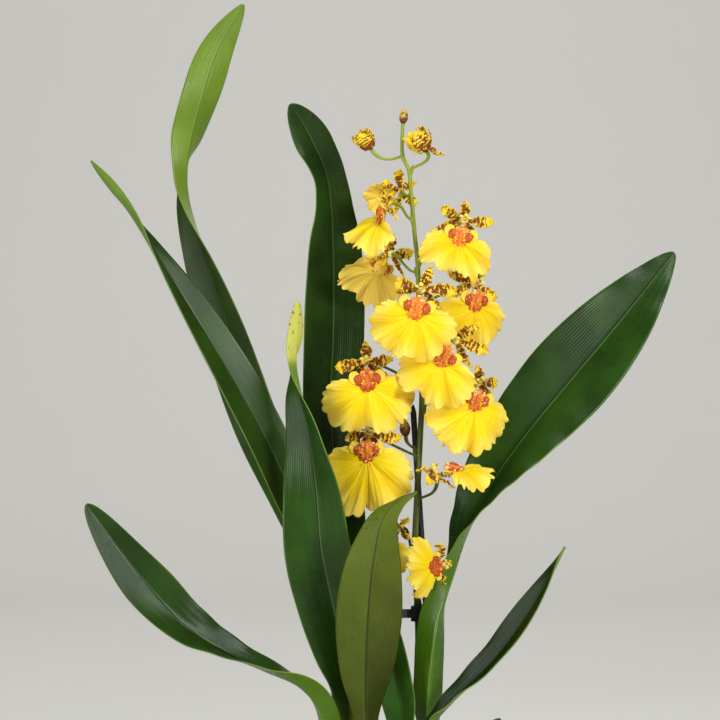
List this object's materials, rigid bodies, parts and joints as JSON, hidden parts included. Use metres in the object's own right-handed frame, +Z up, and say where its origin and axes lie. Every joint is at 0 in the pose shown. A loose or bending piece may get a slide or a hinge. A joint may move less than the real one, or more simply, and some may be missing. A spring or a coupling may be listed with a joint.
{
  "type": "potted orchid",
  "caption": "Dancing-lady orchid in a plain clay pot, with strap leaves and an upright spike of ruffled yellow blooms clipped to a thin stake; a free-standing decorative plant.",
  "frame": {"origin": "centre of the pot's underside, on the surface it stands on", "axes": "+Z up along the pot's axis, -Y towards the side that the flower spike faces, +X to the right as seen from that side"},
  "size_m": [0.2709, 0.1226, 0.4853],
  "materials": {
    "clay": "matte",
    "bark": "matte",
    "bulb": "satin",
    "sheath": "matte",
    "leaf": "satin",
    "old_leaf": "satin",
    "stem": "satin",
    "plastic": "satin",
    "tepals": "satin",
    "lip": "satin",
    "bud": "satin"
  },
  "bodies": {
    "root": {"clay_pot": "clay", "bark_chips": "bark", "pseudobulb_left": "bulb", "pseudobulb_right": "bulb", "pseudobulb_back": "bulb", "dry_sheath_left": "sheath", "dry_sheath_right": "sheath", "dry_sheath_back": "sheath", "leaf_tall_left": "leaf", "leaf_long_left": "leaf", "leaf_low_left": "leaf", "leaf_broad_left": "leaf", "leaf_tall_middle": "leaf", "leaf_front_short": "old_leaf", "leaf_hidden_short": "leaf", "leaf_broad_right": "leaf", "leaf_low_right": "leaf", "leaf_young_right": "leaf", "flower_stem": "stem", "support_stake": "plastic", "stake_clip": "plastic", "bloom_top_left_tepals": "tepals", "bloom_top_left_lip": "lip", "bloom_upper_left_tepals": "tepals", "bloom_upper_left_lip": "lip", "bloom_back_left_tepals": "tepals", "bloom_back_left_lip": "lip", "bloom_upper_right_tepals": "tepals", "bloom_upper_right_lip": "lip", "bloom_centre_tepals": "tepals", "bloom_centre_lip": "lip", "bloom_middle_right_tepals": "tepals", "bloom_middle_right_lip": "lip", "bloom_star_tepals": "tepals", "bloom_star_lip": "lip", "bloom_left_tepals": "tepals", "bloom_left_lip": "lip", "bloom_right_tepals": "tepals", "bloom_right_lip": "lip", "bloom_lower_left_tepals": "tepals", "bloom_lower_left_lip": "lip", "bloom_side_right_tepals": "tepals", "bloom_side_right_lip": "lip", "bloom_bottom_left_tepals": "tepals", "bloom_bottom_left_lip": "lip", "bloom_bottom_tepals": "tepals", "bloom_bottom_lip": "lip", "bud_tip": "bud", "bud_opening_left": "bud", "bud_opening_right": "bud", "bud_closed_low": "bud"}
  },
  "joints": []
}
